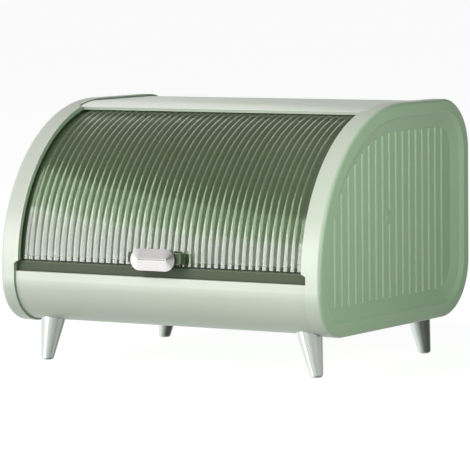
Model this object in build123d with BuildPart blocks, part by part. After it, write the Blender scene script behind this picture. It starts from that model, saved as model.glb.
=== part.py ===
from build123d import *
import os
from math import asin, cos, degrees, radians, sin

# A bread box with a roll top: two moulded ends joined by a tray, a back and a top, and a clear
# ribbed lid that turns about an unseen line between the ends, on arc tracks, and goes back under
# the top. Millimetres. X runs across, Y from front to back and Z up. The origin is on the floor,
# under the middle of the whole box.

os.makedirs("parts", exist_ok=True)

# Overall size
WIDTH = 353.0  # over the two end covers
DEPTH = 299.0  # from the front of the handle to the back
FOOT_HEIGHT = 37.5  # under the end covers
BODY_HEIGHT = 210.0
HANDLE_PROUD = 7.0  # how far the handle stands in front of the ends

FRONT_Y = HANDLE_PROUD - DEPTH / 2
BACK_Y = DEPTH / 2
BODY_BOTTOM = FOOT_HEIGHT
BODY_TOP = FOOT_HEIGHT + BODY_HEIGHT

# The end's outline is a rectangle with four very different corner radii
LOW_FRONT_R = 43.0
LOW_BACK_R = 54.0
HIGH_BACK_R = 50.0
FRONT_R = 156.5
AXIS_Y = FRONT_Y + FRONT_R  # the line that the lid turns about
AXIS_Z = BODY_TOP - FRONT_R
LID_AXIS = Axis((0, AXIS_Y, AXIS_Z), (1, 0, 0))

# Ends
END_X = WIDTH / 2
END_THICKNESS = 15.5
INNER_X = END_X - END_THICKNESS
EDGE_ROUND = 3.5
RIM_WIDTH = 12.0  # flat rim round the end's dished face
STEP_INSET, STEP_DEPTH = 16.0, 3.5
FIELD_INSET, FIELD_DEPTH = 26.0, 8.0
FIELD_X = END_X - FIELD_DEPTH
FIELD_MIDDLE = (3.0, AXIS_Z + 50)  # y and z of the gate mark
SKIRT = 3.0
GROOVE_INSET, GROOVE_DEPTH = 11.0, 8.0  # hollow behind the rim, where the screw heads are
CHEEK_THICKNESS = 3.0
CHEEK_GAP = 0.2
FLOOR_GAP = 0.4  # between the cheek and the back of the dished face

# Upright ridges in the dished face
RIDGE_COUNT = 17
RIDGE_PITCH = 13.0
RIDGE_WIDTH = 4.4
RIDGE_HEIGHT = 1.1
RIDGE_ROOT = 0.3  # how far the ridges and the gate mark run into the dished face
RIDGE_INSET = 27.5
GATE_MARK_RADIUS = 7.2

# Lid. Radii are from the lid's axis, and angles are from the back, through the top, to the front.
CREST_R = 151.9
VALLEY_R = 150.7
SHELL_IN_R = 149.0
RIB_COUNT = 40
RIB_PITCH = 7.45
SHELL_HALF = 156.6
LID_BACK = 102.0
SHELL_FRONT = 176.6
RAIL_START = 177.2
RAIL_FRONT = 183.5
RAIL_OUT_R = 151.5
RAIL_LAP = 1.8  # how far the rail's tongue runs up behind the shell, past the gap
RAIL_ROUND = 0.9
RUNNER_IN_R = 147.5
RUNNER_FLANGE = 4.0  # how far it reaches under the shell
TONGUE_R = 148.9
LID_HALF = 160.6
LID_TRAVEL = 63.0

# Tracks, and the lips of the end covers that hold the lid in
NOSE_ANGLE = 106.0
LIP_X = 156.3
LIP_IN_R = 152.5
LIP_FRONT = 178.1
LIP_CUT = 2.8
LIP_CUT_DEPTH = 9.0
LIP_CUT_BELOW = 5.0
TRACK_X = 156.5
TRACK_IN_R = 147.0
TRACK_WALL = 2.4
TRACK_END_WALL = 2.0  # degrees
TRACK_BACK = LID_BACK - LID_TRAVEL - 2.5
TRACK_FRONT = 184.5
OUTER_TRACK_END = 74.0
STOP_START, STOP_END = RAIL_FRONT + 0.15, RAIL_FRONT + 3.0
STOP_GAP = 0.5  # between a stop pad and the track's open side

# Panels between the ends
PANEL_HALF = INNER_X - 0.1
PANEL_INSET = 2.0  # every panel is this far inside the ends' outline
TRAY_WALL = 2.5
TRAY_BOTTOM = BODY_BOTTOM + PANEL_INSET
APRON_TOP = AXIS_Z - 2.2
APRON_ROUND = 1.1
SEAM_Y = BACK_Y - 51.5
BACK_WALL = 2.2
TOP_PANEL_Z = BODY_TOP - PANEL_INSET
NOSE_R = FRONT_R - 1.0
POST_RADIUS, POST_LENGTH = 3.5, 12.0
POST_FLOOR = 1.0  # left under a blind screw hole

# Feet
FOOT_X = 143.0
FOOT_YS = {"front": -104.0, "back": 105.0}
FOOT_TOP_R, FOOT_TIP_R = 11.8, 5.8
FOOT_TIP_ROUND = 3.2
FOOT_SPARE = 8.0  # drawn beyond the leg's ends before it is cut to length
FOOT_SPLAY = 10.5
FOOT_PAD_R, FOOT_PAD_TOP = 12.0, TRAY_BOTTOM + 6.5
BOLT_R, BOLT_LENGTH = 3.0, 20.0
BOLT_HEAD_R, BOLT_HEAD = 5.5, 3.5
WASHER_R, WASHER = 8.0, 1.2

# Handle
HANDLE_ANGLE = 174.7
KNOB_LENGTH, KNOB_WIDTH = 48.5, 20.5
KNOB_RIM = 2.4
RIDGE_LENGTH, RIDGE_FLAT = 32.0, 1.8
KNOB_GROOVE_WIDTH, KNOB_GROOVE_DEPTH = 0.9, 0.6  # a fine line along the knob's ridge
BASE_LENGTH, BASE_WIDTH, BASE_HEIGHT = 58.0, 11.0, 8.0
HANDLE_TILT = radians(180 - HANDLE_ANGLE)
KNOB_TOP = (AXIS_Y + DEPTH / 2 - RIDGE_FLAT / 2 * sin(HANDLE_TILT)) / cos(HANDLE_TILT) - CREST_R
BASE_RISE = 1.7  # the base and its screws sit a little above the knob's middle
BASE_CORNER = 3.0
HANDLE_SCREW_X = 14.0
HANDLE_SCREW_REACH = 2.6  # into the knob
HANDLE_SCREW_HEAD = 1.4
HANDLE_SCREW_LENGTH = BASE_HEIGHT + CREST_R - SHELL_IN_R + HANDLE_SCREW_REACH

# Small self-tapping screws
SCREW_R, SCREW_HEAD_R, SCREW_HEAD = 1.5, 2.6, 2.0
HOLE_GAP = 0.1
HOLE_SPARE = 0.5  # a blind hole is this much deeper than its screw
DRILL = 5.0  # a hole cutter runs this far past a wall
SCREW_INSET = 6.5
CHEEK_SCREW_LENGTH = POST_LENGTH + CHEEK_THICKNESS - POST_FLOOR - HOLE_SPARE


def end_outline(inset, mode=Mode.ADD):
    """The end's outline drawn inwards by inset, for a sketch on a YZ plane."""
    front, back = FRONT_Y + inset, BACK_Y - inset
    low, high = BODY_BOTTOM + inset, BODY_TOP - inset
    radii = [r - inset for r in (LOW_FRONT_R, LOW_BACK_R, HIGH_BACK_R, FRONT_R)]
    corners = [(front, low), (back, low), (back, high), (front, high)]
    with BuildLine() as outline:
        FilletPolyline(*corners, radius=radii, close=True)
    make_face(outline.edges(), mode=mode)


def arc_band(inner, outer, start, end, mode=Mode.ADD):
    """Part of a ring about the lid's axis, for a sketch on a YZ plane."""
    with BuildLine() as band:
        near = CenterArc((AXIS_Y, AXIS_Z), inner, start, end - start)
        far = CenterArc((AXIS_Y, AXIS_Z), outer, start, end - start)
        Line(near @ 0, far @ 0)
        Line(near @ 1, far @ 1)
    make_face(band.edges(), mode=mode)


def corner_point(corner_y, corner_z, radius, angle):
    """Where a screw sits, SCREW_INSET inside a rounded corner of the outline."""
    reach = radius - SCREW_INSET
    return (corner_y + reach * cos(radians(angle)), corner_z + reach * sin(radians(angle)))


def save(part, name):
    """Label a finished piece and write it to its own file."""
    part.label = name
    export_step(part, f"parts/{name}.step")


TRAY_POSTS = [
    corner_point(FRONT_Y + LOW_FRONT_R, BODY_BOTTOM + LOW_FRONT_R, LOW_FRONT_R, 225),
    (-30.0, BODY_BOTTOM + SCREW_INSET),
    (40.0, BODY_BOTTOM + SCREW_INSET),
    corner_point(BACK_Y - LOW_BACK_R, BODY_BOTTOM + LOW_BACK_R, LOW_BACK_R, 315),
]
BACK_POSTS = [
    (BACK_Y - SCREW_INSET, BODY_BOTTOM + BODY_HEIGHT / 2),
    corner_point(BACK_Y - HIGH_BACK_R, BODY_TOP - HIGH_BACK_R, HIGH_BACK_R, 45),
]
TOP_POSTS = [(90.0, BODY_TOP - SCREW_INSET)]

# Left and right end covers: a skirt, a dished and ridged face, and a lip over the lid's edge
with BuildPart() as end_ridges:
    ridge_r = (RIDGE_WIDTH**2 / 4 + RIDGE_HEIGHT**2) / (2 * RIDGE_HEIGHT)
    with BuildSketch(Plane.XY.offset(BODY_BOTTOM)):
        with Locations((FIELD_X + RIDGE_HEIGHT - ridge_r, FIELD_MIDDLE[0])):
            with GridLocations(1, RIDGE_PITCH, 1, RIDGE_COUNT):
                Circle(ridge_r)
    extrude(amount=BODY_HEIGHT)
    with BuildSketch(Plane.YZ.offset(FIELD_X - RIDGE_ROOT)):
        end_outline(RIDGE_INSET)
    extrude(amount=END_THICKNESS, mode=Mode.INTERSECT)
    with BuildSketch(Plane.YZ.offset(FIELD_X - RIDGE_ROOT)):
        with Locations(FIELD_MIDDLE):
            Circle(GATE_MARK_RADIUS)
    extrude(amount=RIDGE_HEIGHT + RIDGE_ROOT)

with BuildPart() as right_end_cover:
    with BuildSketch(Plane.YZ.offset(INNER_X)):
        end_outline(0)
    extrude(amount=END_THICKNESS)
    fillet(right_end_cover.faces().sort_by(Axis.X)[-1].outer_wire().edges(), EDGE_ROUND)
    with BuildSketch(Plane.YZ.offset(END_X)):
        end_outline(RIM_WIDTH)
    with BuildSketch(Plane.YZ.offset(END_X - STEP_DEPTH)):
        end_outline(STEP_INSET)
    loft(mode=Mode.SUBTRACT)
    with BuildSketch(Plane.YZ.offset(END_X - STEP_DEPTH)):
        end_outline(STEP_INSET)
    with BuildSketch(Plane.YZ.offset(FIELD_X)):
        end_outline(FIELD_INSET)
    loft(mode=Mode.SUBTRACT)
    add(end_ridges.part)
    with BuildSketch(Plane.YZ.offset(INNER_X)):
        end_outline(SKIRT)
    extrude(amount=CHEEK_THICKNESS + FLOOR_GAP, mode=Mode.SUBTRACT)
    with BuildSketch(Plane.YZ.offset(INNER_X + CHEEK_THICKNESS + FLOOR_GAP)):
        end_outline(SKIRT)
        end_outline(GROOVE_INSET, mode=Mode.SUBTRACT)
    extrude(amount=GROOVE_DEPTH, mode=Mode.SUBTRACT)
    with BuildSketch(Plane.YZ.offset(LIP_X)):
        arc_band(LIP_IN_R, FRONT_R, NOSE_ANGLE, LIP_FRONT)
    extrude(amount=INNER_X - LIP_X)
    lip_end_z = AXIS_Z + FRONT_R * sin(radians(180 - LIP_FRONT))
    with BuildSketch(Plane.XZ.offset(-FRONT_Y)):
        with BuildLine():
            Polyline(
                (LIP_X, lip_end_z + LIP_CUT),
                (INNER_X, lip_end_z),
                (INNER_X, lip_end_z - LIP_CUT_BELOW),
                (LIP_X, lip_end_z - LIP_CUT_BELOW),
                close=True,
            )
        make_face()
    extrude(amount=-LIP_CUT_DEPTH, mode=Mode.SUBTRACT)
save(right_end_cover.part, "right_end_cover")

with BuildPart() as left_end_cover:
    mirror(right_end_cover.part, about=Plane.YZ)
save(left_end_cover.part, "left_end_cover")

# Inner cheeks: a plate with the arc track that the lid's edge runs in
with BuildPart() as right_inner_cheek:
    with BuildSketch(Plane.YZ.offset(INNER_X)):
        end_outline(SKIRT + CHEEK_GAP)
    extrude(amount=CHEEK_THICKNESS)
    with BuildSketch(Plane.YZ.offset(TRACK_X)):
        arc_band(TRACK_IN_R - TRACK_WALL, TRACK_IN_R, TRACK_BACK, TRACK_FRONT)
        arc_band(LIP_IN_R, LIP_IN_R + TRACK_WALL, TRACK_BACK, OUTER_TRACK_END)
        arc_band(TRACK_IN_R, LIP_IN_R, TRACK_BACK, TRACK_BACK + TRACK_END_WALL)
    extrude(amount=INNER_X - TRACK_X)
    with BuildSketch(Plane.YZ.offset(INNER_X)):
        with Locations(*TRAY_POSTS, *BACK_POSTS, *TOP_POSTS):
            Circle(SCREW_R + HOLE_GAP)
    extrude(amount=CHEEK_THICKNESS, mode=Mode.SUBTRACT)
save(right_inner_cheek.part, "right_inner_cheek")

with BuildPart() as left_inner_cheek:
    mirror(right_inner_cheek.part, about=Plane.YZ)
save(left_inner_cheek.part, "left_inner_cheek")

# Rubber pads that the closed lid comes down on
with BuildPart() as right_stop_pad:
    with BuildSketch(Plane.YZ.offset(TRACK_X + STOP_GAP)):
        arc_band(RUNNER_IN_R, CREST_R, STOP_START, STOP_END)
    extrude(amount=INNER_X - TRACK_X - STOP_GAP)
save(right_stop_pad.part, "right_stop_pad")

with BuildPart() as left_stop_pad:
    mirror(right_stop_pad.part, about=Plane.YZ)
save(left_stop_pad.part, "left_stop_pad")


def end_posts(points):
    """Screw posts at both ends of a panel, with their pilot holes, for use in a BuildPart."""
    for side in (-1, 1):
        face = Plane.YZ.offset(side * PANEL_HALF)
        with BuildSketch(face) as posts:
            with Locations(*points):
                Circle(POST_RADIUS)
        extrude(posts.sketch, amount=-side * POST_LENGTH)
        with BuildSketch(face) as pilots:
            with Locations(*points):
                Circle(SCREW_R + HOLE_GAP)
        extrude(pilots.sketch, amount=side * (POST_FLOOR - POST_LENGTH), mode=Mode.SUBTRACT)


# Tray: the front apron, the floor and the low back wall in one moulding, with pads for the feet
with BuildPart() as foot_pads:
    for foot_y in FOOT_YS.values():
        with BuildSketch(Plane.XY.offset(TRAY_BOTTOM)):
            with Locations((FOOT_X, foot_y), (-FOOT_X, foot_y)):
                Circle(FOOT_PAD_R)
        extrude(amount=FOOT_PAD_TOP - TRAY_BOTTOM)
    with BuildSketch(Plane.YZ.offset(-END_X)):
        end_outline(PANEL_INSET + TRAY_WALL / 2)
    extrude(amount=WIDTH, mode=Mode.INTERSECT)

with BuildPart() as base_tray:
    with BuildSketch(Plane.YZ.offset(-PANEL_HALF)):
        end_outline(PANEL_INSET)
        end_outline(PANEL_INSET + TRAY_WALL, mode=Mode.SUBTRACT)
        with Locations((0, APRON_TOP)):
            Rectangle(DEPTH, BODY_HEIGHT, align=(Align.CENTER, Align.MAX), mode=Mode.INTERSECT)
    extrude(amount=2 * PANEL_HALF)
    apron_edges = base_tray.edges().filter_by(Axis.X).group_by(Axis.Z)[-1].sort_by(Axis.Y)[:2]
    fillet(apron_edges, APRON_ROUND)
    add(foot_pads.part)
    end_posts(TRAY_POSTS)
    for foot_y in FOOT_YS.values():
        with BuildSketch(Plane.XY.offset(TRAY_BOTTOM)):
            with Locations((FOOT_X, foot_y), (-FOOT_X, foot_y)):
                Circle(BOLT_R + HOLE_GAP)
        extrude(amount=FOOT_PAD_TOP, mode=Mode.SUBTRACT)
save(base_tray.part, "base_tray")

# Back panel, set in a little from the ends, from the tray's back wall round to the top
with BuildPart() as back_panel:
    with BuildSketch(Plane.YZ.offset(-PANEL_HALF)):
        end_outline(PANEL_INSET)
        end_outline(PANEL_INSET + BACK_WALL, mode=Mode.SUBTRACT)
        with Locations((SEAM_Y, APRON_TOP)):
            Rectangle(DEPTH, BODY_HEIGHT, align=(Align.MIN, Align.MIN), mode=Mode.INTERSECT)
    extrude(amount=2 * PANEL_HALF)
    end_posts(BACK_POSTS)
save(back_panel.part, "back_panel")

# Top panel: flat, then curving down to a nose that the lid passes under
with BuildPart() as top_panel:
    nose_start = 180 - degrees(asin((TOP_PANEL_Z - AXIS_Z) / NOSE_R))
    with BuildSketch(Plane.YZ.offset(-PANEL_HALF)):
        with BuildLine():
            under = CenterArc((AXIS_Y, AXIS_Z), LIP_IN_R, 90, NOSE_ANGLE - 90)
            over = CenterArc((AXIS_Y, AXIS_Z), NOSE_R, nose_start, NOSE_ANGLE - nose_start)
            Line(under @ 1, over @ 1)
            Polyline(under @ 0, (SEAM_Y, AXIS_Z + LIP_IN_R), (SEAM_Y, TOP_PANEL_Z), over @ 0)
        make_face()
    extrude(amount=2 * PANEL_HALF)
    end_posts(TOP_POSTS)
save(top_panel.part, "top_panel")

# Screws through the cheeks into the panels' posts
with BuildPart() as right_cheek_screws:
    for depth, radius in ((CHEEK_SCREW_LENGTH, SCREW_R), (-SCREW_HEAD, SCREW_HEAD_R)):
        with BuildSketch(Plane.YZ.offset(INNER_X + CHEEK_THICKNESS)):
            with Locations(*TRAY_POSTS, *BACK_POSTS, *TOP_POSTS):
                Circle(radius)
        extrude(amount=-depth)
save(right_cheek_screws.part, "right_cheek_screws")

with BuildPart() as left_cheek_screws:
    mirror(right_cheek_screws.part, about=Plane.YZ)
save(left_cheek_screws.part, "left_cheek_screws")

# Feet: tapered round legs that lean outwards, cut to the shape of the tray above them
for side_name, side in (("left", -1), ("right", 1)):
    for end_name, foot_y in FOOT_YS.items():
        lean = Vector(side * sin(radians(FOOT_SPLAY)), 0, -cos(radians(FOOT_SPLAY)))
        leg_top = Plane(origin=(side * FOOT_X, foot_y, TRAY_BOTTOM), x_dir=(0, 1, 0), z_dir=lean)
        leg_length = TRAY_BOTTOM / cos(radians(FOOT_SPLAY))
        growth = (FOOT_TOP_R - FOOT_TIP_R) / leg_length
        with BuildPart() as foot:
            with BuildSketch(leg_top.offset(-FOOT_SPARE)):
                Circle(FOOT_TOP_R + growth * FOOT_SPARE)
            with BuildSketch(leg_top.offset(leg_length + FOOT_SPARE / 2)):
                Circle(FOOT_TIP_R - growth * FOOT_SPARE / 2)
            loft()
            split(bisect_by=Plane.XY, keep=Keep.TOP)
            fillet(foot.edges().group_by(Axis.Z)[0], FOOT_TIP_ROUND)
            with BuildSketch(Plane.YZ.offset(-END_X)):
                end_outline(PANEL_INSET)
            extrude(amount=WIDTH, mode=Mode.SUBTRACT)
            with BuildSketch(Plane.XY.offset(FOOT_PAD_TOP)):
                with Locations((side * FOOT_X, foot_y)):
                    Circle(BOLT_R + HOLE_GAP)
            extrude(amount=-BOLT_LENGTH, mode=Mode.SUBTRACT)
        save(foot.part, f"{end_name}_{side_name}_foot")

# Bolts and washers that hold the feet on from inside
FOOT_PLACES = [(side * FOOT_X, y) for side in (-1, 1) for y in FOOT_YS.values()]
with BuildPart() as foot_washers:
    with BuildSketch(Plane.XY.offset(FOOT_PAD_TOP)):
        with Locations(*FOOT_PLACES):
            Circle(WASHER_R)
            Circle(BOLT_R + HOLE_GAP, mode=Mode.SUBTRACT)
    extrude(amount=WASHER)
save(foot_washers.part, "foot_washers")

with BuildPart() as foot_bolts:
    for depth, radius in ((BOLT_LENGTH, BOLT_R), (-BOLT_HEAD, BOLT_HEAD_R)):
        with BuildSketch(Plane.XY.offset(FOOT_PAD_TOP + WASHER)):
            with Locations(*FOOT_PLACES):
                Circle(radius)
        extrude(amount=-depth)
save(foot_bolts.part, "foot_bolts")

# Lid shell: a clear sheet whose ribs run round the arc
back_radial = (0, cos(radians(LID_BACK)), sin(radians(LID_BACK)))
SECTION = Plane(
    origin=(0, AXIS_Y, AXIS_Z), x_dir=(1, 0, 0), z_dir=(0, -back_radial[2], back_radial[1])
)
handle_normal = (0, cos(radians(HANDLE_ANGLE)), sin(radians(HANDLE_ANGLE)))
AXIS_AT_HANDLE = Plane(origin=(0, AXIS_Y, AXIS_Z), x_dir=(1, 0, 0), z_dir=handle_normal)
HANDLE_SCREWS = [(-HANDLE_SCREW_X, BASE_RISE), (HANDLE_SCREW_X, BASE_RISE)]

with BuildPart() as lid_shell:
    rib_half = RIB_COUNT * RIB_PITCH / 2
    with BuildSketch(SECTION):
        with BuildLine():
            for rib in range(RIB_COUNT):
                start_x = rib * RIB_PITCH - rib_half
                middle = (start_x + RIB_PITCH / 2, CREST_R)
                ThreePointArc((start_x, VALLEY_R), middle, (start_x + RIB_PITCH, VALLEY_R))
            Polyline(
                (rib_half, VALLEY_R),
                (SHELL_HALF, VALLEY_R),
                (SHELL_HALF, SHELL_IN_R),
                (-SHELL_HALF, SHELL_IN_R),
                (-SHELL_HALF, VALLEY_R),
                (-rib_half, VALLEY_R),
            )
        make_face()
    revolve(axis=LID_AXIS, revolution_arc=SHELL_FRONT - LID_BACK)
    with BuildSketch(AXIS_AT_HANDLE.offset(SHELL_IN_R - DRILL)):
        with Locations(*HANDLE_SCREWS):
            Circle(SCREW_R + HOLE_GAP)
    extrude(amount=2 * DRILL, mode=Mode.SUBTRACT)
save(lid_shell.part, "lid_shell")

# Runners along the lid's edges, with a flange under the shell
with BuildPart() as right_lid_runner:
    with BuildSketch(SECTION):
        with BuildLine():
            Polyline(
                (SHELL_HALF, CREST_R),
                (LID_HALF, CREST_R),
                (LID_HALF, RUNNER_IN_R),
                (SHELL_HALF - RUNNER_FLANGE, RUNNER_IN_R),
                (SHELL_HALF - RUNNER_FLANGE, TONGUE_R),
                (SHELL_HALF, TONGUE_R),
                close=True,
            )
        make_face()
    revolve(axis=LID_AXIS, revolution_arc=SHELL_FRONT - LID_BACK)
save(right_lid_runner.part, "right_lid_runner")

with BuildPart() as left_lid_runner:
    mirror(right_lid_runner.part, about=Plane.YZ)
save(left_lid_runner.part, "left_lid_runner")

# Bottom rail: a plain bar below the shell, with a tongue up behind it
with BuildPart() as lid_bottom_rail:
    with BuildSketch(Plane.YZ.offset(-LID_HALF)):
        arc_band(RUNNER_IN_R, RAIL_OUT_R, RAIL_START, RAIL_FRONT)
    extrude(amount=2 * LID_HALF)
    rail_edges = lid_bottom_rail.edges().filter_by(Axis.X)
    fillet(rail_edges, RAIL_ROUND)
    tongue_half = SHELL_HALF - RUNNER_FLANGE - CHEEK_GAP
    with BuildSketch(Plane.YZ.offset(-tongue_half)):
        arc_band(RUNNER_IN_R + HOLE_GAP, TONGUE_R, RAIL_START - RAIL_LAP, RAIL_START + RAIL_LAP)
    extrude(amount=2 * tongue_half)
save(lid_bottom_rail.part, "lid_bottom_rail")

# Handle: a base on the lid, a faceted knob on the base, and two screws from inside
with BuildPart() as handle_base:
    with BuildSketch(AXIS_AT_HANDLE.offset(CREST_R)):
        with Locations((0, BASE_RISE)):
            RectangleRounded(BASE_LENGTH, BASE_WIDTH, BASE_CORNER)
        with Locations(*HANDLE_SCREWS):
            Circle(SCREW_R + HOLE_GAP, mode=Mode.SUBTRACT)
    extrude(amount=BASE_HEIGHT)
save(handle_base.part, "handle_base")

with BuildPart() as handle_knob:
    with BuildSketch(AXIS_AT_HANDLE.offset(CREST_R + BASE_HEIGHT)):
        SlotOverall(KNOB_LENGTH, KNOB_WIDTH)
    extrude(amount=KNOB_RIM)
    with BuildSketch(AXIS_AT_HANDLE.offset(CREST_R + BASE_HEIGHT + KNOB_RIM)):
        SlotOverall(KNOB_LENGTH, KNOB_WIDTH)
    with BuildSketch(AXIS_AT_HANDLE.offset(CREST_R + KNOB_TOP)):
        SlotOverall(RIDGE_LENGTH, RIDGE_FLAT)
    loft()
    with BuildSketch(AXIS_AT_HANDLE.offset(CREST_R + KNOB_TOP)):
        SlotOverall(RIDGE_LENGTH - RIDGE_FLAT, KNOB_GROOVE_WIDTH)
    extrude(amount=-KNOB_GROOVE_DEPTH, mode=Mode.SUBTRACT)
    with BuildSketch(AXIS_AT_HANDLE.offset(CREST_R + BASE_HEIGHT)):
        with Locations(*HANDLE_SCREWS):
            Circle(SCREW_R + HOLE_GAP)
    extrude(amount=HANDLE_SCREW_REACH + HOLE_SPARE, mode=Mode.SUBTRACT)
save(handle_knob.part, "handle_knob")

with BuildPart() as handle_screws:
    for depth, radius in ((HANDLE_SCREW_LENGTH, SCREW_R), (-HANDLE_SCREW_HEAD, SCREW_HEAD_R)):
        with BuildSketch(AXIS_AT_HANDLE.offset(SHELL_IN_R - HOLE_GAP)):
            with Locations(*HANDLE_SCREWS):
                Circle(radius)
        extrude(amount=depth)
save(handle_screws.part, "handle_screws")
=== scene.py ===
import logging
import math
from dataclasses import dataclass
from enum import Enum
from typing import Optional

import bpy
from mathutils import Matrix, Vector

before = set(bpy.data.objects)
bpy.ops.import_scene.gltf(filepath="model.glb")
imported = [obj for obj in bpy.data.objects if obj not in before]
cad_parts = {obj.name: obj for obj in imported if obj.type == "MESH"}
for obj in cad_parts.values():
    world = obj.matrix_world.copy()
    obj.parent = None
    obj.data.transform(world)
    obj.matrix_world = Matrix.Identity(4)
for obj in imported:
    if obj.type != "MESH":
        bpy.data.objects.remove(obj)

log = logging.getLogger("bread_box")

MM = 0.001
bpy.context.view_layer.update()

# Share of open sky at which painted shade starts to darken a corner, and at which it is at its full depth
OPEN_CORNER, SHUT_CORNER = 0.75, 0.25

# Cosine of the turn within an edge's width at which the pale edge, partly rubbed and partly a painted
# highlight, starts to show, and at which it is full
SLIGHT_EDGE, SHARP_EDGE = 0.995, 0.86


# --------------------------------------------------------------------------------------------
# Shader helpers
# --------------------------------------------------------------------------------------------


def linear(hex_colour: str) -> tuple[float, float, float, float]:
    """Turn an sRGB hex colour into linear RGBA.

    Args:
        hex_colour: a colour such as "#8fa58b".

    Returns:
        Linear red, green and blue, and an alpha of 1.
    """
    values = [int(hex_colour[i:i + 2], 16) / 255 for i in (1, 3, 5)]
    red, green, blue = (v / 12.92 if v <= 0.04045 else ((v + 0.055) / 1.055) ** 2.4 for v in values)
    return (red, green, blue, 1.0)


def per_metre(size_mm: float) -> float:
    """The texture scale, in object metres, whose pattern repeats about every size_mm."""
    return 1.0 / (size_mm * MM)


def add_node(
    tree: bpy.types.NodeTree,
    kind: str,
    settings: Optional[dict] = None,
    links: Optional[dict] = None,
) -> bpy.types.Node:
    """Add one shader node with its settings and links.

    Args:
        tree: the node tree to add to.
        kind: the node's type name.
        settings: values by socket name or socket number, or by the node's own property name.
        links: source sockets by the name or number of the input that each feeds.

    Returns:
        The new node.
    """
    node = tree.nodes.new(kind)
    for name, value in (settings or {}).items():
        if isinstance(name, int) or name in node.inputs:
            node.inputs[name].default_value = value
        else:
            setattr(node, name, value)
    for name, source in (links or {}).items():
        tree.links.new(source, node.inputs[name])
    return node


@dataclass(frozen=True)
class Finish:
    """What every finish shares: a name, a colour and a surface.

    Attributes:
        name: the material's name.
        colour: the sRGB hex colour of the bulk.
        shade: the sRGB hex colour that it drifts to.
        roughness: mean roughness.
        roughness_spread: how far roughness varies either way.
        drift_mm: size of the slow drift in colour and gloss.
        grain_mm: size of the fine texture.
        grain_depth_mm: height of the fine texture.
        painted_corner_shade: the sRGB hex colour of the painted shade that darkens joints and corners.
        painted_corner_shade_depth: how strong that painted shade is, 0 to 1.
        painted_corner_shade_mm: how far out of a corner the painted shade reaches.
    """

    name: str
    colour: str
    shade: str
    roughness: float
    roughness_spread: float
    drift_mm: float
    grain_mm: float
    grain_depth_mm: float
    # Painted shade for joints and corners, off unless a finish gives it a depth
    painted_corner_shade: str = "#3c4a36"
    painted_corner_shade_depth: float = 0.0
    painted_corner_shade_mm: float = 3.0

    def surface(self) -> dict:
        """Settings of the Principled shader that this kind of material adds."""
        return {}

    def varying(self, tree: bpy.types.NodeTree, place: bpy.types.NodeSocket) -> dict:
        """Sockets of the Principled shader that this kind of material varies over the surface."""
        return {}

    def material(self) -> bpy.types.Material:
        """Build the material once, and give the same one after that."""
        found = bpy.data.materials.get(self.name)
        if found is not None:
            return found
        made = bpy.data.materials.new(self.name)
        made.use_nodes = True
        tree = made.node_tree
        tree.nodes.clear()
        place = add_node(tree, "ShaderNodeTexCoord").outputs["Object"]
        drift = self.drift(tree, place)
        settings = {"Base Color": linear(self.colour), "Roughness": self.roughness, **self.surface()}
        links = {
            "Base Color": self.base_colour(tree, place, drift),
            "Roughness": self.gloss(tree, drift),
            "Normal": self.relief(tree, place),
            **self.varying(tree, place),
        }
        shader = add_node(tree, "ShaderNodeBsdfPrincipled", settings, links)
        add_node(tree, "ShaderNodeOutputMaterial", links={"Surface": shader.outputs["BSDF"]})
        made.diffuse_color = linear(self.colour)
        return made

    def drift(self, tree: bpy.types.NodeTree, place: bpy.types.NodeSocket) -> bpy.types.NodeSocket:
        """Slow, soft noise over the surface, from 0 to 1."""
        settings = {"Scale": per_metre(self.drift_mm), "Detail": 3.0, "Roughness": 0.5}
        return add_node(tree, "ShaderNodeTexNoise", settings, {"Vector": place}).outputs["Fac"]

    def base_colour(
        self, tree: bpy.types.NodeTree, place: bpy.types.NodeSocket, drift: bpy.types.NodeSocket
    ) -> bpy.types.NodeSocket:
        """The colour, which drifts a little towards the shade colour at random, with painted shade in the
        joints and corners.

        Args:
            tree: the material's node tree.
            place: the object coordinates.
            drift: the slow noise.

        Returns:
            The colour socket for the shader.
        """
        mix = add_node(
            tree,
            "ShaderNodeMix",
            {"data_type": "RGBA", 6: linear(self.colour), 7: linear(self.shade)},
            {0: drift},
        )
        return self.paint_corner_shade(tree, mix.outputs[2])

    def paint_corner_shade(self, tree: bpy.types.NodeTree, unshaded: bpy.types.NodeSocket) -> bpy.types.NodeSocket:
        """Darken the joints and corners with painted shade, where little open sky reaches them.

        Args:
            tree: the material's node tree.
            unshaded: the colour before the painted shade.

        Returns:
            The colour with the painted shade in it.
        """
        if self.painted_corner_shade_depth == 0.0:
            return unshaded
        # Painted shade: ambient occlusion darkens the joints and corners towards a darker colour
        corner = add_node(tree, "ShaderNodeAmbientOcclusion", {"samples": 6, "Distance": self.painted_corner_shade_mm * MM})
        amount = add_node(
            tree,
            "ShaderNodeMapRange",
            {"From Min": OPEN_CORNER, "From Max": SHUT_CORNER, "To Min": 0.0, "To Max": self.painted_corner_shade_depth},
            {"Value": corner.outputs["AO"]},
        )
        mix = add_node(
            tree,
            "ShaderNodeMix",
            {"data_type": "RGBA", 7: linear(self.painted_corner_shade)},
            {0: amount.outputs["Result"], 6: unshaded},
        )
        return mix.outputs[2]

    def gloss(self, tree: bpy.types.NodeTree, drift: bpy.types.NodeSocket) -> bpy.types.NodeSocket:
        """Roughness that follows the slow noise."""
        settings = {
            "To Min": self.roughness - self.roughness_spread,
            "To Max": self.roughness + self.roughness_spread,
        }
        return add_node(tree, "ShaderNodeMapRange", settings, {"Value": drift}).outputs["Result"]

    def relief(self, tree: bpy.types.NodeTree, place: bpy.types.NodeSocket) -> bpy.types.NodeSocket:
        """The fine texture, as a bump."""
        settings = {"Scale": per_metre(self.grain_mm), "Detail": 2.0, "Roughness": 0.6}
        grain = add_node(tree, "ShaderNodeTexNoise", settings, {"Vector": place}).outputs["Fac"]
        settings = {"Strength": 1.0, "Distance": self.grain_depth_mm * MM}
        return add_node(tree, "ShaderNodeBump", settings, {"Height": grain}).outputs["Normal"]


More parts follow.
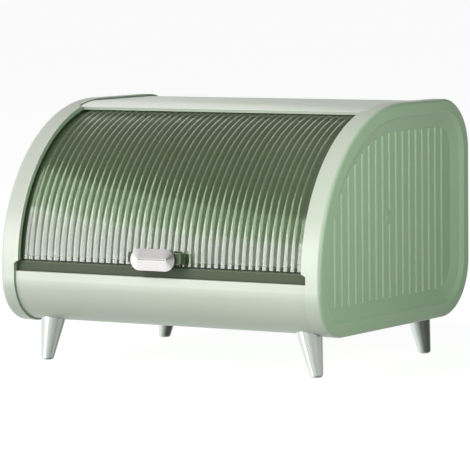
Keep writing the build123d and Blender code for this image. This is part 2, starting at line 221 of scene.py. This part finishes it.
@dataclass(frozen=True)
class MouldedPlastic(Finish):
    """Opaque plastic or rubber from a mould.

    Attributes:
        ior: index of refraction.
        edge_wear_and_highlight: the sRGB hex colour of pale edges, partly rubbed by handling and partly a
            painted highlight.
        edge_wear_and_highlight_depth: how far the edges take that colour, 0 to 1.
        edge_mm: the width of a pale edge.
    """

    ior: float = 1.53
    edge_wear_and_highlight: str = "#ffffff"
    edge_wear_and_highlight_depth: float = 0.0
    edge_mm: float = 1.2

    def surface(self) -> dict:
        """ABS reflects a little more than the default."""
        return {"IOR": self.ior}

    def base_colour(
        self, tree: bpy.types.NodeTree, place: bpy.types.NodeSocket, drift: bpy.types.NodeSocket
    ) -> bpy.types.NodeSocket:
        """The drifting colour, paler on the edges: partly rubbed by handling, partly a painted highlight.

        Args:
            tree: the material's node tree.
            place: the object coordinates.
            drift: the slow noise.

        Returns:
            The colour socket for the shader.
        """
        bulk = super().base_colour(tree, place, drift)
        if self.edge_wear_and_highlight_depth == 0.0:
            return bulk
        # Pale edges: partly rubbed by handling, partly a painted highlight where rounded edges would catch
        # the light
        rounded = add_node(tree, "ShaderNodeBevel", {"samples": 4, "Radius": self.edge_mm * MM})
        flat = add_node(tree, "ShaderNodeNewGeometry")
        facing = add_node(
            tree,
            "ShaderNodeVectorMath",
            {"operation": "DOT_PRODUCT"},
            {0: rounded.outputs["Normal"], 1: flat.outputs["Normal"]},
        )
        edge = add_node(
            tree,
            "ShaderNodeMapRange",
            {"From Min": SLIGHT_EDGE, "From Max": SHARP_EDGE, "To Min": 0.0, "To Max": self.edge_wear_and_highlight_depth},
            {"Value": facing.outputs["Value"]},
        )
        mix = add_node(
            tree,
            "ShaderNodeMix",
            {"data_type": "RGBA", 7: linear(self.edge_wear_and_highlight)},
            {0: edge.outputs["Result"], 6: bulk},
        )
        return mix.outputs[2]


@dataclass(frozen=True)
class ClearPlastic(Finish):
    """Tinted see-through plastic sheet, with a gloss coat and darker solid strips along its edges, which are
    painted shade: they stand in for the shaded inside seen through the clear borders.

    Attributes:
        ior: index of refraction.
        opacity: the part of the light that doesn't go straight through.
        coat: weight of the gloss coat.
        coat_roughness: its roughness.
        painted_shade_strip: the sRGB hex colour of the strips of painted shade.
        painted_shade_strip_opacity: the opacity in the strips.
        painted_shade_strip_coat: the weight of the gloss coat in the strips.
        painted_shade_strip_from_mm: how far from the middle the side strips start.
        painted_shade_strip_under_mm: the height that the bottom band of painted shade reaches up to.
    """

    ior: float = 1.55
    opacity: float = 1.0
    coat: float = 1.0
    coat_roughness: float = 0.05
    # Painted shade: the dark colour of the strips along the edges
    painted_shade_strip: str = "#4c5a43"
    painted_shade_strip_opacity: float = 0.97
    painted_shade_strip_coat: float = 0.1
    painted_shade_strip_from_mm: float = 1000.0
    painted_shade_strip_under_mm: float = 0.0

    def surface(self) -> dict:
        """The coat comes from the polished roll that pressed the sheet."""
        return {"IOR": self.ior, "Coat Roughness": self.coat_roughness}

    def in_painted_shade_strip(
        self, tree: bpy.types.NodeTree, place: bpy.types.NodeSocket, inside: float, outside: float
    ) -> bpy.types.NodeSocket:
        """One value between the strips and another in them.

        Args:
            tree: the material's node tree.
            place: the object coordinates.
            inside: the value between the strips.
            outside: the value in the strips.

        Returns:
            The value's socket.
        """
        axes = add_node(tree, "ShaderNodeSeparateXYZ", links={"Vector": place}).outputs
        across = add_node(tree, "ShaderNodeMath", {"operation": "ABSOLUTE"}, {0: axes["X"]}).outputs[0]
        beside = add_node(
            tree, "ShaderNodeMath", {"operation": "GREATER_THAN", 1: self.painted_shade_strip_from_mm * MM}, {0: across}
        )
        below = add_node(
            tree, "ShaderNodeMath", {"operation": "LESS_THAN", 1: self.painted_shade_strip_under_mm * MM}, {0: axes["Z"]}
        )
        either = add_node(
            tree, "ShaderNodeMath", {"operation": "MAXIMUM"}, {0: beside.outputs[0], 1: below.outputs[0]}
        )
        settings = {"To Min": inside, "To Max": outside}
        return add_node(tree, "ShaderNodeMapRange", settings, {"Value": either.outputs[0]}).outputs["Result"]

    def varying(self, tree: bpy.types.NodeTree, place: bpy.types.NodeSocket) -> dict:
        """Part of the light goes straight through, except in the strips of painted shade, which are dull too.
        """
        return {
            "Alpha": self.in_painted_shade_strip(tree, place, self.opacity, self.painted_shade_strip_opacity),
            "Coat Weight": self.in_painted_shade_strip(tree, place, self.coat, self.painted_shade_strip_coat),
        }

    def base_colour(
        self, tree: bpy.types.NodeTree, place: bpy.types.NodeSocket, drift: bpy.types.NodeSocket
    ) -> bpy.types.NodeSocket:
        """The tint, with the dark colour of the painted shade in the strips.

        Args:
            tree: the material's node tree.
            place: the object coordinates.
            drift: the slow noise.

        Returns:
            The colour socket for the shader.
        """
        # Painted shade: the strips along the edges take a dark colour for the shaded inside seen through them
        mix = add_node(
            tree,
            "ShaderNodeMix",
            {"data_type": "RGBA", 7: linear(self.painted_shade_strip)},
            {0: self.in_painted_shade_strip(tree, place, 0.0, 1.0), 6: super().base_colour(tree, place, drift)},
        )
        return mix.outputs[2]


@dataclass(frozen=True)
class Metal(Finish):
    """Bare or plated metal, which keeps the default index of refraction."""

    def surface(self) -> dict:
        """Fully metallic."""
        return {"Metallic": 1.0}


# Sage green ABS from a satin mould: a broad soft sheen, pale edges that are partly rubbed and partly a
# painted highlight, and painted shade in the joints
SAGE_ABS = MouldedPlastic(
    name="abs_sage_satin_moulded",
    colour="#c7d6c3",
    shade="#c1d1bc",
    roughness=0.36,
    roughness_spread=0.04,
    drift_mm=70,
    grain_mm=1.6,
    grain_depth_mm=0.012,
    # Pale edges, partly rubbed and partly a painted highlight; painted shade in the joints and corners
    edge_wear_and_highlight="#e9f2e6",
    edge_wear_and_highlight_depth=0.85,
    painted_corner_shade="#3b5c33",
    painted_corner_shade_depth=0.8,
)

# The same ABS inside, from an unpolished mould: duller and a little greyer
PLAIN_ABS = MouldedPlastic(
    name="abs_sage_plain_moulded",
    colour="#b9cbb3",
    shade="#b0c3aa",
    roughness=0.5,
    roughness_spread=0.05,
    drift_mm=50,
    grain_mm=1.2,
    grain_depth_mm=0.02,
)

# Extruded clear styrene with a green tint: bright streaks down the ribs, dark solid strips along the edges
# that are painted shade, and painted shade in the joints
TINTED_STYRENE = ClearPlastic(
    name="styrene_green_clear_extruded",
    colour="#617a53",
    shade="#5b724d",
    roughness=0.08,
    roughness_spread=0.03,
    drift_mm=40,
    grain_mm=9,
    grain_depth_mm=0.03,
    painted_corner_shade="#1c2417",
    painted_corner_shade_depth=0.9,
    painted_corner_shade_mm=2.5,
    ior=1.59,
    opacity=0.45,
    coat_roughness=0.16,
    painted_shade_strip_from_mm=153.2,
    painted_shade_strip_under_mm=103.4,
)

# Bottle green styrene for the solid parts of the lid, satin: its dark green is painted shade, as dark as the
# shaded inside seen through a clear border; its pale edge line is partly rubbed and partly a painted
# highlight, and painted shade darkens the joints
PAINTED_SHADE_STYRENE = MouldedPlastic(
    name="styrene_green_painted_shade_satin_moulded",
    colour="#55644b",
    shade="#4f5e45",
    roughness=0.5,
    roughness_spread=0.05,
    drift_mm=30,
    grain_mm=2.5,
    grain_depth_mm=0.008,
    edge_wear_and_highlight="#a9b79c",
    edge_wear_and_highlight_depth=0.9,
    edge_mm=1.6,
    painted_corner_shade="#1c2417",
    painted_corner_shade_depth=0.8,
    painted_corner_shade_mm=2.0,
)

# Bright chrome plate over a die casting: mirror-like, softened by a slight ripple in the plating, with
# painted shade darkening its groove and corners
CHROME_PLATE = Metal(
    name="chrome_plate_polished",
    colour="#cfcdcd",
    shade="#c6c3c3",
    roughness=0.16,
    roughness_spread=0.03,
    drift_mm=12,
    grain_mm=3,
    grain_depth_mm=0.01,
    painted_corner_shade="#2b2a28",
    painted_corner_shade_depth=1.0,
    painted_corner_shade_mm=2.5,
)

# Turned aluminium, satin: streaked highlights that run down the leg
TURNED_ALUMINIUM = Metal(
    name="aluminium_turned_satin",
    colour="#c8cec8",
    shade="#bec4be",
    roughness=0.24,
    roughness_spread=0.05,
    drift_mm=15,
    grain_mm=2,
    grain_depth_mm=0.01,
)

# Bright zinc plate on steel screws: a cool grey with soft highlights
ZINC_STEEL = Metal(
    name="steel_zinc_plated",
    colour="#a9abad",
    shade="#9b9da0",
    roughness=0.32,
    roughness_spread=0.06,
    drift_mm=6,
    grain_mm=0.8,
    grain_depth_mm=0.01,
)

# Black nitrile rubber, moulded: matt, with a dry bloom
BLACK_RUBBER = MouldedPlastic(
    name="rubber_nitrile_moulded",
    colour="#232423",
    shade="#2d2e2c",
    roughness=0.75,
    roughness_spread=0.08,
    drift_mm=8,
    grain_mm=0.9,
    grain_depth_mm=0.03,
)


def dress(piece: bpy.types.Object, finish: Finish) -> None:
    """Give a piece one finish all over."""
    piece.data.materials.clear()
    piece.data.materials.append(finish.material())


def dress_nodes(names: tuple[str, ...], finish: Finish) -> None:
    """Give a finish to CAD nodes whose shape stays."""
    for name in names:
        dress(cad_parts[name], finish)
        log.info("dressed %s in %s", name, finish.name)


@dataclass
class Case:
    """The fixed part of the box."""

    outer: tuple[str, ...] = ("left_end_cover", "right_end_cover", "base_tray", "back_panel", "top_panel")
    inner: tuple[str, ...] = ("left_inner_cheek", "right_inner_cheek")
    pads: tuple[str, ...] = ("left_stop_pad", "right_stop_pad")
    screws: tuple[str, ...] = ("left_cheek_screws", "right_cheek_screws", "foot_bolts", "foot_washers")

    def build(self) -> None:
        """Dress the case's nodes."""
        dress_nodes(self.outer, SAGE_ABS)
        dress_nodes(self.inner, PLAIN_ABS)
        dress_nodes(self.pads, BLACK_RUBBER)
        dress_nodes(self.screws, ZINC_STEEL)


@dataclass
class Legs:
    """Four turned legs."""

    names: tuple[str, ...] = ("front_left_foot", "front_right_foot", "back_left_foot", "back_right_foot")

    def build(self) -> None:
        """Dress the legs."""
        dress_nodes(self.names, TURNED_ALUMINIUM)


@dataclass
class Lid:
    """The rolling lid."""

    def build(self) -> None:
        """Dress the lid's nodes."""
        dress_nodes(("lid_shell",), TINTED_STYRENE)
        dress_nodes(("lid_bottom_rail", "left_lid_runner", "right_lid_runner", "handle_base"), PAINTED_SHADE_STYRENE)
        dress_nodes(("handle_knob",), CHROME_PLATE)
        dress_nodes(("handle_screws",), ZINC_STEEL)


class Reach(Enum):
    """What a softbox does to the surfaces that it reaches."""

    LIGHTS = "lights them without showing in them"
    SHOWS = "shows in them without lighting them"
    BOTH = "lights them and shows in them"


@dataclass(frozen=True)
class Softbox:
    """A rectangular softbox, or a card that only shows as a reflection.

    Attributes:
        name: the light's name.
        place: where its middle stands, in metres.
        facing: the direction that it shines in.
        size: its width and height, in metres.
        radiance: how bright its face is; white paper in full light is about 1.
        serves: the CAD nodes that it reaches, or none for all of them.
        colour: its sRGB hex colour.
        reach: what it does to surfaces.
    """

    name: str
    place: tuple[float, float, float]
    facing: tuple[float, float, float]
    size: tuple[float, float]
    radiance: float
    serves: tuple[str, ...] = ()
    colour: str = "#ffffff"
    reach: Reach = Reach.SHOWS

    def build(self) -> None:
        """Set the light up."""
        data = bpy.data.lights.new(self.name, "AREA")
        data.shape = "RECTANGLE"
        data.size, data.size_y = self.size
        data.energy = self.radiance * math.pi * self.size[0] * self.size[1]
        data.color = linear(self.colour)[:3]
        lamp = bpy.data.objects.new(self.name, data)
        lamp.location = self.place
        lamp.rotation_euler = Vector(self.facing).to_track_quat("-Z", "Y").to_euler()
        lamp.visible_camera = False
        lamp.visible_glossy = self.reach is not Reach.LIGHTS
        lamp.visible_diffuse = self.reach is not Reach.SHOWS
        bpy.context.scene.collection.objects.link(lamp)
        if self.serves:
            served = bpy.data.collections.new(self.name + "_serves")
            for name in self.serves:
                served.objects.link(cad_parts[name])
            lamp.light_linking.receiver_collection = served


CLEAR_SHEET = ("lid_shell",)
FRONT_LEGS, BACK_LEGS = Legs.names[:2], Legs.names[2:]

# Two broad lights make the colours. The cards are the reflections: up the curve of the clear sheet
# from the low card to the crown card, along the case's front and nose, and in the bright metal.
SOFTBOXES = (
    Softbox(
        "key_softbox", (-1.5, -2.2, 1.9), (1.5, 2.2, -1.75), (1.6, 1.6), 9.4, (), "#ffe9fa", Reach.LIGHTS
    ),
    Softbox(
        "side_softbox", (0.7, -0.36, 0.3), (-0.56, 0.36, -0.16), (0.4, 0.4), 4.7, (), "#e3ffe0", Reach.BOTH
    ),
    Softbox("low_card", (-0.187, -0.366, 0.03), (0.79, 0.61, 0.0), (0.72, 0.46), 8.2, CLEAR_SHEET),
    Softbox("mid_card", (-0.187, -0.366, 0.335), (0.79, 0.61, 0.0), (0.7, 0.18), 4.8, CLEAR_SHEET, "#dcffd2"),
    Softbox("flank_card", (-1.7, 0.1, 1.3), (1.7, -0.1, -1.15), (0.9, 0.9), 0.7, CLEAR_SHEET),
    Softbox("crown_card", (-1.4, 1.1, 1.1), (1.4, -1.1, -0.9), (0.9, 0.9), 1.9, CLEAR_SHEET, "#ebf2df"),
    Softbox("front_card", (-1.2, -1.9, 0.35), (1.2, 1.9, -0.2), (1.1, 1.3), 8.0, Case.outer),
    Softbox("nose_card", (-0.9, 0.65, 1.25), (0.9, -0.65, -1.05), (1.1, 1.1), 2.1, ("top_panel",)),
    Softbox("leg_strip", (-0.5, -0.75, -0.3), (0.5, 0.75, 0.0), (0.35, 1.8), 2.4, FRONT_LEGS),
    Softbox("leg_wall", (0.8, -1.3, -0.5), (-0.8, 1.3, 0.0), (3.0, 2.4), 0.62, FRONT_LEGS),
    Softbox("leg_side", (1.5, 0.6, -0.5), (-1.5, -0.6, 0.0), (2.4, 2.4), 0.55, FRONT_LEGS),
    Softbox("back_leg_strip", (-0.5, -0.75, 0.1), (0.5, 0.75, 0.0), (0.7, 0.8), 0.3, BACK_LEGS),
    Softbox("knob_card", (-0.5, -0.75, 0.2), (0.5, 0.75, 0.0), (0.7, 0.8), 0.5, ("handle_knob",)),
)


@dataclass
class Studio:
    """Floor, wall, lights, surround and camera.

    Attributes:
        azimuth: degrees that the camera stands to the right of the front.
        elevation: degrees that it looks down.
        roll: degrees that it leans.
        distance: metres from the aim point.
        lens: focal length in millimetres.
        sensor: the sensor's width in millimetres.
        reach: how far the camera sees, in metres.
        aim: the point the view is centred on, as right and up of the pivot, in metres.
        pivot: the middle of the end's outline, on the box's middle plane.
        floor_half: half the floor's width, in metres.
        floor_glow: the radiance that the floor adds to what falls on it.
        wall_sides: how many flat sides the wall round the floor has.
        wall_radius: how far off it stands, in metres.
        wall_foot: the height of its foot, in metres.
        wall_head: the height of its top, in metres.
        wall_glow: the radiance that it adds to what falls on it.
        bands: heights from 0 straight down to 1 straight up, with the surround's radiance at each.
        right_fade: how far to the right the surround starts to dim, and where it is at its dimmest.
        right_wall: the part of its light that is left there.
        left_fade: how far to the left the surround starts to brighten, and where it is at its brightest.
        left_wall: the radiance that is added there.
    """

    azimuth: float = 31.5
    elevation: float = 4.855
    roll: float = -0.527
    distance: float = 3.1884
    lens: float = 252.77
    sensor: float = 36.0
    reach: float = 50.0
    aim: tuple[float, float] = (-0.00446, -0.0260)
    pivot: tuple[float, float, float] = (0.0, 0.008, 0.1433)
    floor_half: float = 40.0
    floor_glow: float = 0.9
    wall_sides: int = 24
    wall_radius: float = 36.0
    wall_foot: float = -1.0
    wall_head: float = 30.0
    wall_glow: float = 1.0
    bands: tuple[tuple[float, float], ...] = (
        (0.0, 0.62), (0.40, 0.75), (0.49, 0.8), (0.54, 0.8), (0.64, 0.2), (1.0, 0.15)
    )
    right_fade: tuple[float, float] = (-0.2, 0.6)
    right_wall: float = 0.15
    left_fade: tuple[float, float] = (-0.35, -0.75)
    left_wall: float = 0.6

    def camera(self) -> None:
        """Place the camera."""
        around, down, lean = (math.radians(v) for v in (self.azimuth, self.elevation, self.roll))
        back = Vector((math.sin(around) * math.cos(down), -math.cos(around) * math.cos(down), math.sin(down)))
        right = Vector((math.cos(around), math.sin(around), 0.0))
        up = back.cross(right)
        place = Vector(self.pivot) + right * self.aim[0] + up * self.aim[1] + back * self.distance
        across = right * math.cos(lean) + up * math.sin(lean)
        upright = up * math.cos(lean) - right * math.sin(lean)
        data = bpy.data.cameras.new("camera")
        data.lens = self.lens
        data.sensor_width = self.sensor
        data.clip_end = self.reach
        camera = bpy.data.objects.new("camera", data)
        turn = Matrix((across, upright, back)).transposed().to_4x4()
        camera.matrix_world = Matrix.Translation(place) @ turn
        bpy.context.scene.collection.objects.link(camera)
        bpy.context.scene.camera = camera

    def backdrop(self, name: str, corners: list, faces: list, glow: float) -> None:
        """Add a white surface that only the camera sees, and that glows as if lit from behind.

        Args:
            name: the surface's name.
            corners: its corners, in metres.
            faces: the numbers of each face's corners.
            glow: the radiance that it adds to what falls on it.
        """
        mesh = bpy.data.meshes.new(name)
        mesh.from_pydata(corners, [], faces)
        sheet = bpy.data.objects.new(name, mesh)
        sheet.visible_diffuse = False
        sheet.visible_glossy = False
        sheet.visible_shadow = False
        bpy.context.scene.collection.objects.link(sheet)
        paint = bpy.data.materials.new("acrylic_white_opal_for_" + name)
        paint.use_nodes = True
        shader = paint.node_tree.nodes["Principled BSDF"]
        shader.inputs["Base Color"].default_value = linear("#8a8a8a")
        shader.inputs["Roughness"].default_value = 0.9
        shader.inputs["Specular IOR Level"].default_value = 0.0
        shader.inputs["Emission Color"].default_value = (1.0, 1.0, 1.0, 1.0)
        shader.inputs["Emission Strength"].default_value = glow
        mesh.materials.append(paint)

    def floor(self) -> None:
        """A plain white floor, and a white wall far off all round."""
        half = self.floor_half
        corners = [(-half, -half, 0), (half, -half, 0), (half, half, 0), (-half, half, 0)]
        self.backdrop("floor", corners, [(0, 1, 2, 3)], self.floor_glow)
        sides = self.wall_sides
        turns = [2 * math.pi * i / sides for i in range(sides)]
        feet = [
            (self.wall_radius * math.cos(t), self.wall_radius * math.sin(t), self.wall_foot) for t in turns
        ]
        heads = [(x, y, self.wall_head) for x, y, _ in feet]
        faces = [(i, (i + 1) % sides, sides + (i + 1) % sides, sides + i) for i in range(sides)]
        self.backdrop("wall", feet + heads, faces, self.wall_glow)

    def surround(self) -> None:
        """White walls all round under a dim ceiling, brighter on the left and darker on the right."""
        world = bpy.data.worlds.new("surround")
        world.use_nodes = True
        tree = world.node_tree
        way = add_node(tree, "ShaderNodeTexCoord").outputs["Generated"]
        axes = add_node(tree, "ShaderNodeSeparateXYZ", links={"Vector": way}).outputs
        height = self.fade(tree, axes["Z"], (-1.0, 1.0), 0.0, 1.0)
        ramp = add_node(tree, "ShaderNodeValToRGB", links={"Fac": height})
        bands = ramp.color_ramp.elements
        bottom, *between, top = self.bands
        bands[0].position, bands[0].color = bottom[0], (bottom[1], bottom[1], bottom[1], 1.0)
        bands[1].position, bands[1].color = top[0], (top[1], top[1], top[1], 1.0)
        for position, level in between:
            bands.new(position).color = (level, level, level, 1.0)
        right = self.fade(tree, axes["X"], self.right_fade, 1.0, self.right_wall)
        left = self.fade(tree, axes["X"], self.left_fade, 0.0, self.left_wall)
        walls = add_node(
            tree, "ShaderNodeMath", {"operation": "MULTIPLY"}, {0: ramp.outputs["Color"], 1: right}
        )
        total = add_node(tree, "ShaderNodeMath", {"operation": "ADD"}, {0: walls.outputs[0], 1: left})
        sky = tree.nodes["Background"]
        sky.inputs["Color"].default_value = (1.0, 1.0, 1.0, 1.0)
        tree.links.new(total.outputs[0], sky.inputs["Strength"])
        bpy.context.scene.world = world

    def fade(
        self,
        tree: bpy.types.NodeTree,
        value: bpy.types.NodeSocket,
        span: tuple[float, float],
        at_start: float,
        at_end: float,
    ) -> bpy.types.NodeSocket:
        """Fade from one level to another.

        Args:
            tree: the world's node tree.
            value: what the fade follows.
            span: where the fade starts, and where it ends.
            at_start: the level at its start.
            at_end: the level at its end.

        Returns:
            The level's socket.
        """
        settings = {"From Min": span[0], "From Max": span[1], "To Min": at_start, "To Max": at_end}
        return add_node(tree, "ShaderNodeMapRange", settings, {"Value": value}).outputs["Result"]

    def build(self) -> None:
        """Set up the studio."""
        self.camera()
        self.floor()
        self.surround()
        for softbox in SOFTBOXES:
            softbox.build()
        bpy.context.scene.view_settings.view_transform = "Standard"


def main() -> None:
    """Build every sub-assembly in order and log each one."""
    logging.basicConfig(level=logging.INFO, format="%(name)s: %(message)s")
    for part in (Studio(), Case(), Legs(), Lid()):
        part.build()
        log.info("built %s", type(part).__name__)


if __name__ == "__main__":
    main()
